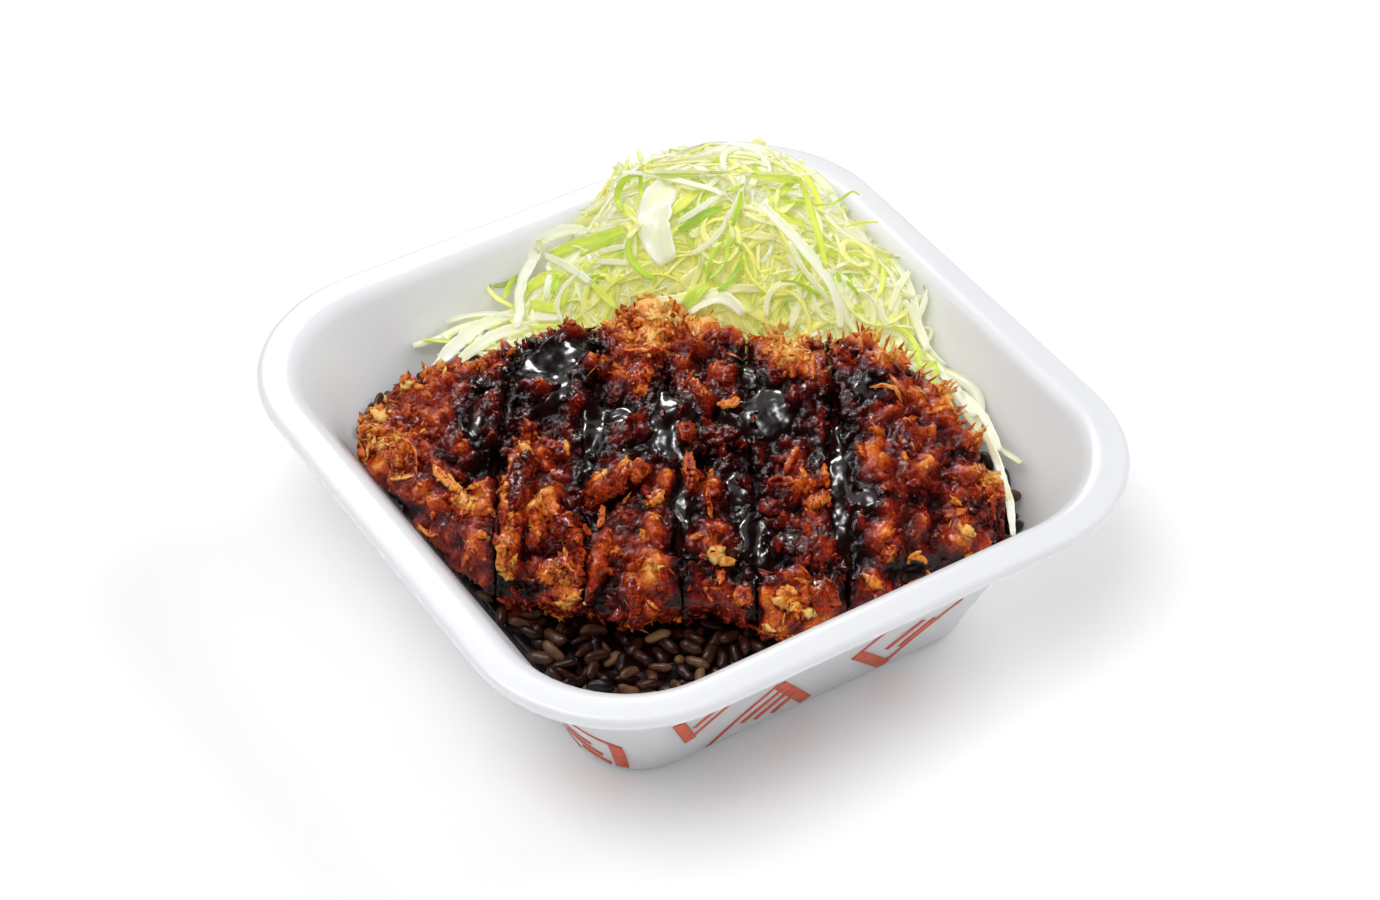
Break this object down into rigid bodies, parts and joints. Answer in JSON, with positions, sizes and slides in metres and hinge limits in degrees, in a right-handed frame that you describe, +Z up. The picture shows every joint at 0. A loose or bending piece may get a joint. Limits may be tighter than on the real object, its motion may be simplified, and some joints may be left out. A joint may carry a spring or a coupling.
{
  "type": "bowl of pork katsu rice",
  "caption": "Square white foam takeaway bowl filled with sauced rice, a sliced breaded pork cutlet and a heap of shredded cabbage.",
  "frame": {"origin": "middle of the bowl's flat underside", "axes": "+Z up; the bowl's four walls face +X, -X, +Y and -Y; the cabbage is heaped in the +X +Y corner and rice shows in the -X -Y corner"},
  "size_m": [0.17, 0.17, 0.0767],
  "materials": {
    "white_foam": "white pressed foam sheet with a faint sheen",
    "sauced_rice": "cooked rice soaked in dark glossy sauce",
    "cabbage_leaf": "thin moist yellow-green shreds",
    "sauced_crust": "craggy fried breadcrumb crust under glossy brown sauce"
  },
  "bodies": {
    "root": {"bowl": "white_foam", "rice": "sauced_rice", "cabbage": "cabbage_leaf", "cutlet_slice_1": "sauced_crust", "cutlet_slice_2": "sauced_crust", "cutlet_slice_3": "sauced_crust", "cutlet_slice_4": "sauced_crust", "cutlet_slice_5": "sauced_crust", "cutlet_slice_6": "sauced_crust"}
  },
  "joints": []
}
